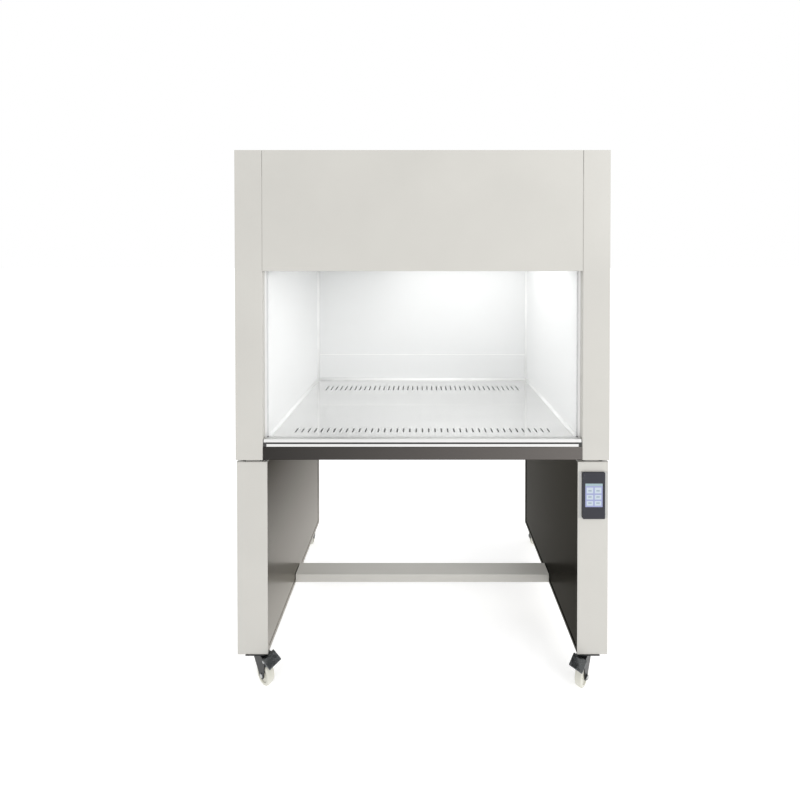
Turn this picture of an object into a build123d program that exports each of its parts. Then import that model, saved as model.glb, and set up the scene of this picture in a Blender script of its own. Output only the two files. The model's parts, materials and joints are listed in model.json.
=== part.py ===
import os
from math import cos, radians, sin

from build123d import *

# A free-standing clean bench: a sheet-steel cabinet with a filter and blower over an open
# working chamber, a counterweighted glass sash, and a stand of two box legs on castors.
# Millimetres. X is the width, -Y is the front, Z is up from the floor, and the origin is on
# the floor under the middle of the whole bench, from its front pedals to its back.

# Overall sizes
overall_width = 1200.0
overall_depth = 720.0

# Sheet and clearances
steel_wall = 1.5
stainless_wall = 1.2
bend_radius = 3.0
seam_gap = 0.6
slide_gap = 0.4
running_gap = 0.05
face_gap = 0.3
overcut = 1.0

# Cabinet
pad_height = 10.0
column_width = 88.0
column_return = 35.0
rear_flange = 22.0
screw_head_height = 2.5
screw_head_radius = 4.5
screw_rows = 5
screw_margin = 40.0
opening_height = 563.5
panel_return = 18.0
lid_lip = 20.0
chamber_side_gap = 5.0
chamber_setback = 33.0
duct_depth = 66.5
apron_height = 42.5
apron_flange = 28.0
pan_lip = 25.0

# Work surface
work_rise = 59.0
work_wall = 1.5
work_lip = 26.0
work_end_gap = 2.0
slot_pitch = 21.5
slot_margin = 76.6
slot_width = 5.0
front_slot_length = 32.0
rear_slot_length = 60.0
front_slots_setback = 85.0
rear_slots_setback = 125.0
ledge_leg = 24.0
ledge_wall = 2.0
seam_rise = 122.0
seam_width = 2.5
seam_depth = 0.6

# Filter, ceiling and plenum
chamber_height = 602.0
ceiling_lip = 10.0
ceiling_wall = 1.0
ceiling_hole = 22.0
ceiling_holes_wide = 28
ceiling_holes_deep = 15
filter_height = 69.0
filter_side_gap = 7.0
filter_end_gap = 2.0
filter_rim = 20.0
filter_pleats = 60
filter_pleat_depth = 50.0
pleat_base = 8.0
plenum_height = 42.0
skirt_inset = 1.0
blower_room = 207.0

# Blower and electrics
deck_wall = 2.0
blower_x = -150.0
blower_setback = 380.0
blower_axis_rise = 100.0
scroll_radius = 92.0
scroll_growth = 14.0
scroll_start = -60.0
scroll_end = 180.0
scroll_steps = 12
scroll_width = 170.0
scroll_wall = 1.5
inlet_radius = 52.0
impeller_radius = 72.0
impeller_width = 150.0
impeller_disc_wall = 3.0
impeller_blades = 20
blade_depth = 16.0
blade_inset = 3.0
blade_rim_gap = 1.0
blade_wall = 2.0
blade_turn = 25.0
impeller_shaft_radius = 6.0
impeller_shaft_overhang = 4.0
impeller_hub_radius = 14.0
impeller_hub_length = 40.0
motor_radius = 45.0
motor_length = 85.0
motor_gap = 25.0
motor_foot = 12.0
prefilter_inset = 270.0
prefilter_setback = 420.0
prefilter_width = 280.0
prefilter_depth = 220.0
prefilter_height = 46.0
grille_holes_wide = 14
grille_holes_deep = 10
grille_hole = 10.0
grille_border = 30.0
control_box_inset = 200.0
control_box_width = 180.0
control_box_depth = 240.0
control_box_height = 90.0
inlet_inset = 180.0
inlet_rise = 61.0
inlet_width = 48.0
inlet_height = 28.0
inlet_depth = 30.0
inlet_flange = 4.0
socket_wall = 3.0
pin_pitch = 9.0
pin_rise = 3.0
pin_drop = 2.0
pin_width = 2.0
pin_height = 5.0
pin_recess = 6.0

# Lamps
lamp_drop = 24.5
lamp_end_gap = 35.0
led_radius = 12.0
uv_radius = 8.0
lamp_spacing = 34.0
holder_length = 22.0
holder_half = 13.0
tray_width = 84.0

# Sash
glass_wall = 5.0
glass_inset = 3.0
glass_overlap = 35.0
glass_corner = 2.0
glass_setback = 24.0
channel_width = 6.0
channel_wall = 1.2
channel_slot = 8.0
channel_clearance = 12.0
glide_wall = 6.4
glide_drop = 28.0
rail_setback = 0.8
rail_height = 24.2
rail_depth = 15.0
rail_groove = 5.0
rail_groove_rise = 9.0
rail_groove_depth = 7.0
rail_rear = 4.6
grip_height = 17.0
grip_wall = 2.1
end_cap_gap = 2.8
end_cap_width = 9.0
pulley_drop = 40.0
pulley_radius = 28.0
pulley_rim = 32.0
pulley_width = 12.0
pulley_shaft_radius = 4.0
bracket_wall = 2.0
bracket_depth = 22.0
bracket_gap = 0.5
cable_radius = 1.0
cable_inset = 2.5
weight_width = 40.0
weight_depth = 30.0
weight_height = 450.0
weight_drop = 50.0
weight_chamfer = 2.0

# Stand
castor_height = 103.0
leg_height = 626.0
leg_width = 99.0
leg_setback = 8.0
leg_rear_setback = 69.5
leg_floor_wall = 2.5
panel_border = 10.0
panel_recess = 2.0
pad_radius = 6.0
pad_inset = 21.0
pad_front_inset = 12.0
pad_rear_inset = 24.0
crossbar_height = 33.4
crossbar_depth = 60.0
crossbar_wall = 2.0
crossbar_setback = 290.0

# Touch panel on the right leg
touch_width = 72.0
touch_height = 150.0
touch_thickness = 6.0
touch_drop = 181.0
touch_corner = 3.0
touch_edge = 0.8
touch_plate_width = 92.0
touch_plate_wall = 1.0
display_width = 59.0
display_height = 79.0
display_rise = 37.0
display_recess = 0.8
display_thickness = 3.0

# Castors
wheel_radius = 34.0
wheel_width = 23.0
wheel_hub_radius = 11.0
wheel_dish = 3.5
tyre_edge = 5.0
axle_radius = 4.0
axle_overhang = 1.5
castor_side_inset = 39.0
castor_end_inset = 31.0
castor_trail = 33.0
castor_plate = 66.0
castor_plate_wall = 3.0
castor_bolt_spacing = 48.0
castor_bolt_radius = 3.6
kingpin_radius = 6.0
kingpin_head_radius = 11.0
kingpin_head_wall = 4.0
race_radius = 21.0
fork_wall = 2.5
fork_crown = 3.7
fork_gap = 1.5
cheek_end_radius = 11.0
cheek_top_width = 44.0
race_height = 4.0
crown_radius = 24.0
cheek_ear_radius = 7.0
pedal_width = 42.0
pedal_wall = 2.5
pedal_reach = 86.0
pedal_flare = 52.0
pedal_pin_radius = 3.0
pedal_pin_overhang = 0.5
pedal_pin_x = 43.0
pedal_pin_drop = 16.0
pedal_barrel_radius = 6.0
pedal_drop = 3.5
pedal_fall = 8.5
pedal_nose_x = 7.0
pedal_nose_z = -14.0
pedal_nose_radius = 2.0
bolt_head_radius = 5.5
bolt_head_height = 3.5
bolt_shank_gap = 0.2
nut_height = 6.0
castor_headings = {
    "front_left": -35.0,
    "front_right": -132.0,
    "rear_left": 90.0,
    "rear_right": 90.0,
}

# Places worked out from the sizes above
half_width = overall_width / 2


def pedal_overhang(place):
    """How far a front castor's pedal stands out in front of the cabinet."""
    heading = radians(castor_headings[place])
    forward = -pedal_reach * sin(heading) + pedal_width / 2 * abs(cos(heading))
    return forward - leg_setback - castor_end_inset


overhang = max(pedal_overhang("front_left"), pedal_overhang("front_right"))
front = (overhang - overall_depth) / 2
rear = front + overall_depth - screw_head_height
inside_half = half_width - steel_wall
leg_bottom = castor_height
leg_top = leg_bottom + leg_height
cabinet_bottom = leg_top + pad_height
column_inner = half_width - column_width
chamber_half_width = column_inner - chamber_side_gap
chamber_front = front + chamber_setback
chamber_rear = rear - duct_depth
pan_floor = cabinet_bottom + stainless_wall
pan_top = pan_floor + steel_wall
apron_top = cabinet_bottom + apron_height
panel_bottom = apron_top + opening_height
work_height = cabinet_bottom + work_rise
work_under = work_height - work_wall
work_front = chamber_front + work_end_gap
work_half = chamber_half_width - slide_gap
work_rear = chamber_rear - slide_gap
slot_count = round(2 * (work_half - slot_margin) / slot_pitch) + 1
seam_height = work_height + seam_rise
ceiling_height = work_height + chamber_height
filter_bottom = ceiling_height + ceiling_lip
filter_top = filter_bottom + filter_height
tray_under = filter_bottom - steel_wall
ceiling_front = chamber_front + tray_width
filter_centre = (ceiling_front + chamber_rear) / 2
filter_width = 2 * (chamber_half_width - filter_side_gap)
filter_depth = chamber_rear - ceiling_front - 2 * filter_end_gap
deck_z = filter_top + plenum_height
deck_top = deck_z + deck_wall
overall_height = deck_top + blower_room
lid_under = overall_height - steel_wall
blower_y = front + blower_setback
blower_z = deck_top + blower_axis_rise
prefilter_x = half_width - prefilter_inset
prefilter_y = front + prefilter_setback
control_box_x = control_box_inset - half_width
inlet_x = half_width - inlet_inset
inlet_z = cabinet_bottom + inlet_rise
lamp_z = tray_under - lamp_drop
lamp_length = 2 * (chamber_half_width - holder_length - lamp_end_gap)
pulley_z = overall_height - pulley_drop
glass_plane = front + glass_setback
glass_top = panel_bottom + glass_overlap
glide_top = glass_top - glide_drop
channel_inner = column_inner - channel_width
channel_top = pulley_z - pulley_rim - channel_clearance
glass_half_width = channel_inner - glass_inset
cable_x = column_inner - channel_wall - cable_inset
pulley_x = cable_x + pulley_radius
weight_x = pulley_x + pulley_radius
weight_top = pulley_z - weight_drop
leg_inner = half_width - leg_width
leg_front = front + leg_setback
leg_rear = rear - leg_rear_setback
leg_centre = half_width - leg_width / 2
touch_bottom = leg_top - touch_drop
display_bottom = touch_bottom + display_rise
castor_x = leg_inner + castor_side_inset
castor_places = {
    "front_left": (-castor_x, leg_front + castor_end_inset),
    "front_right": (castor_x, leg_front + castor_end_inset),
    "rear_left": (-castor_x, leg_rear - castor_end_inset),
    "rear_right": (castor_x, leg_rear - castor_end_inset),
}
castor_bolt_holes = (castor_bolt_spacing, castor_bolt_spacing, 2, 2)

os.makedirs("parts", exist_ok=True)


def block(low, high, mode=Mode.ADD):
    """Adds a box between two corners to the part being made."""
    size = [b - a for a, b in zip(low, high)]
    with Locations(tuple((a + b) / 2 for a, b in zip(low, high))):
        Box(*size, mode=mode)


def mirrored(side, low, high, mode=Mode.ADD):
    """Adds a box given for the right side, on the right side (1) or the left side (-1)."""
    xs = sorted((side * low[0], side * high[0]))
    block((xs[0], low[1], low[2]), (xs[1], high[1], high[2]), mode)


def rod(centre, radius, length, along="Z", mode=Mode.ADD):
    """Adds a cylinder about its centre, along X, Y or Z."""
    turn = {"X": (0, 90, 0), "Y": (90, 0, 0), "Z": (0, 0, 0)}[along]
    with Locations(centre):
        Cylinder(radius, length, rotation=turn, mode=mode)


def save(name, part):
    """Labels one finished piece and writes its STEP file."""
    part.label = name
    export_step(part, f"parts/{name}.step")


def fold(points, radius, wall, side):
    """Draws a folded sheet's section from its outer face, its bend radius and its wall."""
    with BuildLine() as outline:
        outer = FilletPolyline(*points, radius=radius)
        offset(outer, amount=wall, side=side)
    make_face(outline.edges())


# Side panels: each is one sheet, folded round the column's front face and its return
for name, side in (("left", -1), ("right", 1)):
    section = [
        (side * column_inner, front + column_return),
        (side * column_inner, front),
        (side * half_width, front),
        (side * half_width, rear),
        (side * (half_width - rear_flange), rear),
    ]
    inward = Side.LEFT if side > 0 else Side.RIGHT
    with BuildPart() as side_panel:
        with BuildSketch(Plane.XY.offset(cabinet_bottom)):
            fold(section, bend_radius, steel_wall, inward)
        extrude(amount=overall_height - cabinet_bottom)
        # The return is cut away where the sash pulley crosses it
        mirrored(
            side,
            (column_inner - overcut, front + steel_wall, channel_top),
            (column_inner + 2 * steel_wall, front + column_return + overcut, overall_height),
            Mode.SUBTRACT,
        )
    save(f"{name}_side_panel", side_panel.part)

# Base pan: the cabinet's floor, under the return air, with its edges turned up
with BuildPart() as base_pan:
    block((-inside_half, front + apron_flange / 2, pan_floor), (inside_half, rear - 2 * steel_wall, pan_top))
    for x in (-inside_half, inside_half - steel_wall):
        block((x, front + apron_flange, pan_floor), (x + steel_wall, rear - 2 * steel_wall, pan_top + pan_lip))
    block(
        (-inside_half, rear - 3 * steel_wall, pan_floor),
        (inside_half, rear - 2 * steel_wall, pan_top + pan_lip),
    )
    for side in (-1, 1):
        mirrored(
            side,
            (column_inner - seam_gap, front, pan_floor - overcut),
            (half_width, front + column_return + seam_gap, pan_top + pan_lip + overcut),
            Mode.SUBTRACT,
        )
        # A tongue inside each column carries the load on to the front pads
        mirrored(
            side,
            (column_inner + steel_wall + seam_gap, front + bend_radius, pan_floor),
            (inside_half, front + column_return + seam_gap + overcut, pan_top),
        )
save("base_pan", base_pan.part)

# Rear panel: screwed on from behind, inside the side panels' rear flanges
panel_face = rear - steel_wall
with BuildPart() as rear_panel:
    block(
        (-inside_half + bend_radius, panel_face - steel_wall, pan_floor),
        (inside_half - bend_radius, panel_face, lid_under),
    )
    block(
        (inlet_x - inlet_width / 2, panel_face - 2 * steel_wall, inlet_z - inlet_height / 2),
        (inlet_x + inlet_width / 2, panel_face + steel_wall, inlet_z + inlet_height / 2),
        Mode.SUBTRACT,
    )
save("rear_panel", rear_panel.part)

# Rear panel screws: a row down each side, their heads on the flanges
screw_x = half_width - rear_flange / 2
screw_run = lid_under - pan_floor - 2 * screw_margin
screw_face = Plane(origin=(0, rear, (pan_floor + lid_under) / 2), x_dir=(1, 0, 0), z_dir=(0, 1, 0))
with BuildPart() as rear_screws:
    with BuildSketch(screw_face):
        with GridLocations(2 * screw_x, screw_run / (screw_rows - 1), 2, screw_rows):
            Circle(screw_head_radius)
    extrude(amount=screw_head_height)
save("rear_panel_screws", rear_screws.part)

# Top panel: a lid inside the side panels, with its edges turned down and the intake punched out
grille_pitch_x = (prefilter_width - 2 * grille_border) / grille_holes_wide
grille_pitch_y = (prefilter_depth - 2 * grille_border) / grille_holes_deep
lid_front = front + steel_wall
lid_rear = rear - 2 * steel_wall
with BuildPart() as top_panel:
    block((-inside_half, lid_front, lid_under), (inside_half, lid_rear, overall_height))
    for x in (-inside_half, inside_half - steel_wall):
        block((x, chamber_front, lid_under - lid_lip), (x + steel_wall, lid_rear - steel_wall, lid_under))
    front_corners = top_panel.edges().filter_by(Axis.Z).group_by(Axis.Y)[0]
    fillet(front_corners, radius=bend_radius)
    with BuildSketch(Plane.XY.offset(lid_under)):
        with Locations((prefilter_x, prefilter_y)):
            with GridLocations(grille_pitch_x, grille_pitch_y, grille_holes_wide, grille_holes_deep):
                Rectangle(grille_hole, grille_hole)
    extrude(amount=steel_wall, mode=Mode.SUBTRACT)
save("top_panel", top_panel.part)

# Front panel: a shallow folded pan between the columns, above the opening
panel_half = column_inner - seam_gap
with BuildPart() as front_panel:
    block((-panel_half, front, panel_bottom), (panel_half, front + panel_return, overall_height))
    block(
        (-panel_half + steel_wall, front + steel_wall, panel_bottom + steel_wall),
        (panel_half - steel_wall, front + panel_return + overcut, overall_height + overcut),
        Mode.SUBTRACT,
    )
    block(
        (-panel_half, front + steel_wall, lid_under),
        (panel_half, front + panel_return + overcut, overall_height + overcut),
        Mode.SUBTRACT,
    )
    rims = front_panel.edges().filter_by(Axis.X).group_by(Axis.Z)[0].sort_by(Axis.Y)[:1]
    fillet(rims, radius=steel_wall)
save("front_panel", front_panel.part)

# Front apron: the stainless beam under the opening
with BuildPart() as front_apron:
    with BuildSketch(Plane.YZ.offset(-panel_half)):
        fold(
            [
                (front + apron_flange, cabinet_bottom),
                (front, cabinet_bottom),
                (front, apron_top),
                (front + apron_flange, apron_top),
            ],
            bend_radius,
            stainless_wall,
            Side.RIGHT,
        )
    extrude(amount=2 * panel_half)
save("front_apron", front_apron.part)

# Chamber liners: sheets from the base pan to the top of the filter, each side one with the
# angle welded on it that the work surface rests on
for name, side in (("left", -1), ("right", 1)):
    with BuildPart() as side_liner:
        mirrored(
            side,
            (chamber_half_width, chamber_front, pan_top),
            (chamber_half_width + stainless_wall, chamber_rear + stainless_wall, deck_top),
        )
        mirrored(
            side,
            (chamber_half_width, chamber_front, pan_top),
            (column_inner, chamber_front + stainless_wall, deck_top),
        )
        mirrored(
            side,
            (chamber_half_width - ledge_leg, work_front + work_lip, work_under - ledge_wall),
            (chamber_half_width, chamber_rear - face_gap, work_under),
        )
        mirrored(
            side,
            (chamber_half_width - ledge_wall, work_front + work_lip, work_under - ledge_leg),
            (chamber_half_width, chamber_rear - face_gap, work_under),
        )
    save(f"{name}_liner", side_liner.part)

# The rear liner stops at the work surface, so that air returns under it to the duct behind
with BuildPart() as rear_liner:
    block(
        (-chamber_half_width, chamber_rear, work_under),
        (chamber_half_width, chamber_rear + stainless_wall, deck_top),
    )
    block(
        (-chamber_half_width, chamber_rear - overcut, seam_height - seam_width / 2),
        (chamber_half_width, chamber_rear + seam_depth, seam_height + seam_width / 2),
        Mode.SUBTRACT,
    )
save("rear_liner", rear_liner.part)

# Work surface: a stainless tray with its front edge turned down and two rows of air slots
with BuildPart() as work_surface:
    block((-work_half, work_front, work_under), (work_half, work_rear, work_height))
    block((-work_half, work_front, work_height - work_lip), (work_half, work_front + work_wall, work_height))
    for row_y, slot_length in (
        (front + front_slots_setback, front_slot_length),
        (chamber_rear - rear_slots_setback, rear_slot_length),
    ):
        with BuildSketch(Plane.XY.offset(work_under)):
            with Locations((0, row_y)):
                with GridLocations(slot_pitch, 1, slot_count, 1):
                    SlotOverall(slot_length, slot_width, rotation=90)
        extrude(amount=work_wall, mode=Mode.SUBTRACT)
save("work_surface", work_surface.part)

# Ceiling grille: the perforated diffuser, a tray that carries the filter on its turned-up edge
ceiling_half = chamber_half_width - face_gap
hole_pitch_x = 2 * (ceiling_half - filter_rim) / ceiling_holes_wide
hole_pitch_y = (chamber_rear - ceiling_front - 2 * filter_rim) / ceiling_holes_deep
with BuildPart() as ceiling_grille:
    block((-ceiling_half, ceiling_front, ceiling_height), (ceiling_half, chamber_rear, filter_bottom))
    block(
        (-ceiling_half + ceiling_wall, ceiling_front + ceiling_wall, ceiling_height + ceiling_wall),
        (ceiling_half - ceiling_wall, chamber_rear - ceiling_wall, filter_bottom + overcut),
        Mode.SUBTRACT,
    )
    with BuildSketch(Plane.XY.offset(ceiling_height)):
        with Locations((0, (ceiling_front + chamber_rear) / 2)):
            with GridLocations(hole_pitch_x, hole_pitch_y, ceiling_holes_wide, ceiling_holes_deep):
                Rectangle(ceiling_hole, ceiling_hole)
    extrude(amount=ceiling_wall, mode=Mode.SUBTRACT)
save("ceiling_grille", ceiling_grille.part)

# Filter: an aluminium frame round a pleated pack
with BuildPart() as filter_frame:
    with Locations((0, filter_centre, filter_bottom + filter_height / 2)):
        Box(filter_width, filter_depth, filter_height)
        Box(
            filter_width - 2 * filter_rim,
            filter_depth - 2 * filter_rim,
            filter_height,
            mode=Mode.SUBTRACT,
        )
save("hepa_frame", filter_frame.part)

# The pack's pleats run from front to back
pack_half = filter_width / 2 - filter_rim
pleat_pitch = 2 * pack_half / filter_pleats
pack_low = filter_bottom + (filter_height - filter_pleat_depth) / 2
with BuildPart() as filter_media:
    with BuildSketch(Plane.XZ.offset(-filter_centre)):
        with BuildLine():
            lows = [(-pack_half, pack_low)]
            for pleat in range(filter_pleats):
                start = -pack_half + pleat * pleat_pitch
                lows.append((start + pleat_pitch / 2, pack_low + filter_pleat_depth - pleat_base))
                lows.append((start + pleat_pitch, pack_low))
            lows.append((pack_half, pack_low + filter_pleat_depth))
            lows.append((-pack_half, pack_low + filter_pleat_depth))
            Polyline(*lows, close=True)
        make_face()
    extrude(amount=filter_depth / 2 - filter_rim, both=True)
save("hepa_media", filter_media.part)

# Plenum deck: the lid of the pressure chamber over the filter, which carries the blower
skirt_half_width = filter_width / 2 - skirt_inset
skirt_half_depth = filter_depth / 2 - skirt_inset


def scroll_points(inset):
    """The blower scroll's spiral about its axis, as (y, z) pairs, from its tongue to its outlet."""
    points = []
    for step in range(scroll_steps + 1):
        share = step / scroll_steps
        angle = radians(scroll_start + (scroll_end - scroll_start) * share)
        reach = scroll_radius - scroll_growth * (1 - share) - inset
        points.append((blower_y + reach * cos(angle), blower_z + reach * sin(angle)))
    return points


def scroll_face(inset, bottom):
    """Draws the scroll with its outlet running straight down to a height."""
    spiral = scroll_points(inset)
    with BuildLine() as outline:
        Spline(*spiral)
        Polyline(spiral[-1], (spiral[-1][0], bottom), (spiral[0][0], bottom), spiral[0])
    make_face(outline.edges())


outlet_low = scroll_points(scroll_wall)[-1][0]
outlet_high = scroll_points(scroll_wall)[0][0]
with BuildPart() as plenum_deck:
    block(
        (-ceiling_half, chamber_front + 2 * steel_wall, deck_z),
        (ceiling_half, chamber_rear - face_gap, deck_top),
    )
    with Locations((0, filter_centre, filter_top + plenum_height / 2)):
        Box(2 * skirt_half_width, 2 * skirt_half_depth, plenum_height)
        Box(
            2 * (skirt_half_width - steel_wall),
            2 * (skirt_half_depth - steel_wall),
            plenum_height,
            mode=Mode.SUBTRACT,
        )
    block(
        (blower_x - scroll_width / 2 + scroll_wall, outlet_low, deck_z - overcut),
        (blower_x + scroll_width / 2 - scroll_wall, outlet_high, deck_top + overcut),
        Mode.SUBTRACT,
    )
save("plenum_deck", plenum_deck.part)

# Baffle: one sheet, the wall between the sash's slot and the blower and the reflector over the lamps
with BuildPart() as front_baffle:
    block(
        (-chamber_half_width, chamber_front, tray_under),
        (chamber_half_width, chamber_front + steel_wall, lid_under),
    )
    block(
        (-chamber_half_width, chamber_front, tray_under),
        (chamber_half_width, ceiling_front - slide_gap, filter_bottom),
    )
save("front_baffle", front_baffle.part)

# Blower housing: a spiral casing, open below and at its two round inlets
with BuildPart() as blower_housing:
    with BuildSketch(Plane.YZ.offset(blower_x)):
        scroll_face(0, deck_top)
    extrude(amount=scroll_width / 2, both=True)
    with BuildSketch(Plane.YZ.offset(blower_x)):
        scroll_face(scroll_wall, deck_top - overcut)
    extrude(amount=scroll_width / 2 - scroll_wall, both=True, mode=Mode.SUBTRACT)
    rod((blower_x, blower_y, blower_z), inlet_radius, scroll_width + overcut, "X", Mode.SUBTRACT)
save("blower_housing", blower_housing.part)

# Impeller: two rings of forward-curved blades on a middle disc, with the hub's bore
blower_plane = Plane(origin=(blower_x, blower_y, blower_z), x_dir=(0, 1, 0), z_dir=(1, 0, 0))
ring_shift = (impeller_width - impeller_disc_wall) / 2
with BuildPart(blower_plane) as impeller:
    Cylinder(impeller_radius - blade_rim_gap, impeller_disc_wall)
    for end in (-1, 1):
        with Locations((0, 0, end * ring_shift)):
            Cylinder(impeller_radius, impeller_disc_wall)
            Cylinder(impeller_radius - blade_depth, impeller_disc_wall, mode=Mode.SUBTRACT)
    with PolarLocations(impeller_radius - blade_depth / 2 - blade_rim_gap, impeller_blades):
        Box(blade_depth - blade_inset, blade_wall, impeller_width, rotation=(0, 0, blade_turn))
    Cylinder(impeller_hub_radius, impeller_hub_length)
    Cylinder(impeller_shaft_radius + running_gap, impeller_hub_length, mode=Mode.SUBTRACT)
save("blower_impeller", impeller.part)

# Blower motor: a round motor on a foot, its shaft through the impeller's hub
motor_near = blower_x + scroll_width / 2 + motor_gap
motor_far = motor_near + motor_length
shaft_end = blower_x - impeller_hub_length / 2 - impeller_shaft_overhang
shaft_length = motor_near - shaft_end
with BuildPart() as blower_motor:
    rod(((motor_near + motor_far) / 2, blower_y, blower_z), motor_radius, motor_length, "X")
    rod(((motor_near + shaft_end) / 2, blower_y, blower_z), impeller_shaft_radius, shaft_length, "X")
    block(
        (motor_near + motor_foot, blower_y - motor_radius, deck_top),
        (motor_far - motor_foot, blower_y + motor_radius, deck_top + motor_foot),
    )
    block(
        (motor_near + 2 * motor_foot, blower_y - motor_foot, deck_top),
        (motor_far - 2 * motor_foot, blower_y + motor_foot, blower_z),
    )
save("blower_motor", blower_motor.part)

# Control box on the deck
with BuildPart() as control_box:
    block(
        (control_box_x - control_box_width / 2, blower_y - control_box_depth / 2, deck_top),
        (
            control_box_x + control_box_width / 2,
            blower_y + control_box_depth / 2,
            deck_top + control_box_height,
        ),
    )
    fillet(control_box.edges().filter_by(Axis.Z), radius=bend_radius)
save("control_box", control_box.part)

# Intake filter, under the grille in the top panel
with BuildPart() as prefilter:
    with Locations((prefilter_x, prefilter_y, lid_under - prefilter_height / 2)):
        Box(prefilter_width, prefilter_depth, prefilter_height)
save("prefilter", prefilter.part)

# Power inlet: a flanged socket in the rear panel with its three pins
with BuildPart() as power_inlet:
    block(
        (
            inlet_x - inlet_width / 2 + slide_gap,
            rear - steel_wall - inlet_depth,
            inlet_z - inlet_height / 2 + slide_gap,
        ),
        (inlet_x + inlet_width / 2 - slide_gap, rear - steel_wall, inlet_z + inlet_height / 2 - slide_gap),
    )
    block(
        (inlet_x - inlet_width / 2 - inlet_flange, panel_face, inlet_z - inlet_height / 2 - inlet_flange),
        (inlet_x + inlet_width / 2 + inlet_flange, rear, inlet_z + inlet_height / 2 + inlet_flange),
    )
    block(
        (
            inlet_x - inlet_width / 2 + socket_wall,
            rear - inlet_depth + socket_wall,
            inlet_z - inlet_height / 2 + socket_wall,
        ),
        (
            inlet_x + inlet_width / 2 - socket_wall,
            rear + overcut,
            inlet_z + inlet_height / 2 - socket_wall,
        ),
        Mode.SUBTRACT,
    )
    for offset_x, offset_z in ((-pin_pitch, -pin_drop), (0, pin_rise), (pin_pitch, -pin_drop)):
        pin_x = inlet_x + offset_x
        pin_z = inlet_z + offset_z
        block(
            (pin_x - pin_width / 2, rear - inlet_depth + socket_wall, pin_z - pin_height / 2),
            (pin_x + pin_width / 2, rear - pin_recess, pin_z + pin_height / 2),
        )
save("power_inlet", power_inlet.part)

# Lamps: two tubes in their holders, under the baffle's fold
tube_ys = (
    (chamber_front + ceiling_front - lamp_spacing) / 2,
    (chamber_front + ceiling_front + lamp_spacing) / 2,
)
with BuildPart() as lamp_holders:
    for y in tube_ys:
        for side in (-1, 1):
            mirrored(
                side,
                (lamp_length / 2, y - holder_half, lamp_z - holder_half),
                (lamp_length / 2 + holder_length, y + holder_half, tray_under),
            )
save("lamp_holders", lamp_holders.part)

for name, y, radius in (("led_tube", tube_ys[1], led_radius), ("uv_tube", tube_ys[0], uv_radius)):
    with BuildPart() as tube:
        rod((0, y, lamp_z), radius, lamp_length, "X")
    save(name, tube.part)

# Sash channels: one upright at each side of the opening
slot_front = glass_plane - channel_slot / 2
slot_rear = glass_plane + channel_slot / 2
for name, side in (("left", -1), ("right", 1)):
    with BuildPart() as channel:
        mirrored(
            side,
            (channel_inner, slot_front - channel_wall, apron_top),
            (column_inner, slot_rear + channel_wall, channel_top),
        )
        mirrored(
            side,
            (channel_inner - overcut, slot_front, apron_top - overcut),
            (column_inner - channel_wall, slot_rear, channel_top + overcut),
            Mode.SUBTRACT,
        )
    save(f"{name}_sash_channel", channel.part)

# Sash: the glass, the rail along its foot and the end caps that run up its edges
rail_bottom = apron_top + face_gap
rail_front = front + rail_setback
rail_back = rail_front + rail_depth
rail_top = rail_bottom + rail_height
groove_back = rail_front + rail_groove_depth
groove_bottom = rail_bottom + rail_groove_rise
groove_top = groove_bottom + rail_groove
cap_end = column_inner - end_cap_gap
rail_end = cap_end - end_cap_width
glass_front = glass_plane - glass_wall / 2
glass_rear = glass_plane + glass_wall / 2
glass_bottom = rail_bottom + rail_rear
grip_top = rail_bottom + grip_height
grip_back = glass_rear + grip_wall
with BuildPart() as sash_glass:
    block((-glass_half_width, glass_front, glass_bottom), (glass_half_width, glass_rear, glass_top))
    fillet(sash_glass.edges().filter_by(Axis.Y), radius=glass_corner)
save("sash_glass", sash_glass.part)

with BuildPart() as sash_rail:
    with BuildSketch(Plane.YZ.offset(-rail_end)):
        with BuildLine():
            Polyline(
                (rail_front, rail_bottom),
                (rail_front, groove_bottom),
                (groove_back, groove_bottom),
                (groove_back, groove_top),
                (rail_front, groove_top),
                (rail_front, rail_top),
                (rail_back, rail_top),
                (rail_back, grip_top),
                (glass_front, grip_top),
                (glass_front, glass_bottom),
                (glass_rear, glass_bottom),
                (glass_rear, grip_top),
                (grip_back, grip_top),
                (grip_back, rail_bottom),
                close=True,
            )
        make_face()
    extrude(amount=2 * rail_end)
    # Over its groove the rail runs on above the end caps
    for side in (-1, 1):
        mirrored(side, (rail_end, rail_front, groove_top), (cap_end, rail_back, rail_top))
save("sash_rail", sash_rail.part)

glide_end = column_inner - channel_wall - slide_gap
glide_front = glass_plane - glide_wall / 2
glide_rear = glass_plane + glide_wall / 2
with BuildPart() as sash_glides:
    for side in (-1, 1):
        mirrored(side, (rail_end, rail_front, rail_bottom), (cap_end, rail_back, groove_top))
        mirrored(
            side,
            (rail_end, rail_back, rail_bottom),
            (channel_inner - slide_gap, glide_rear, grip_top),
        )
        mirrored(side, (rail_end, glide_front, rail_bottom), (glide_end, glide_rear, grip_top))
        mirrored(side, (glass_half_width, glide_front, rail_bottom), (glide_end, glide_rear, glide_top))
        mirrored(
            side,
            (rail_end - overcut, glass_front, glass_bottom),
            (glass_half_width, glass_rear, glass_top),
            Mode.SUBTRACT,
        )
save("sash_glides", sash_glides.part)

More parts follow.
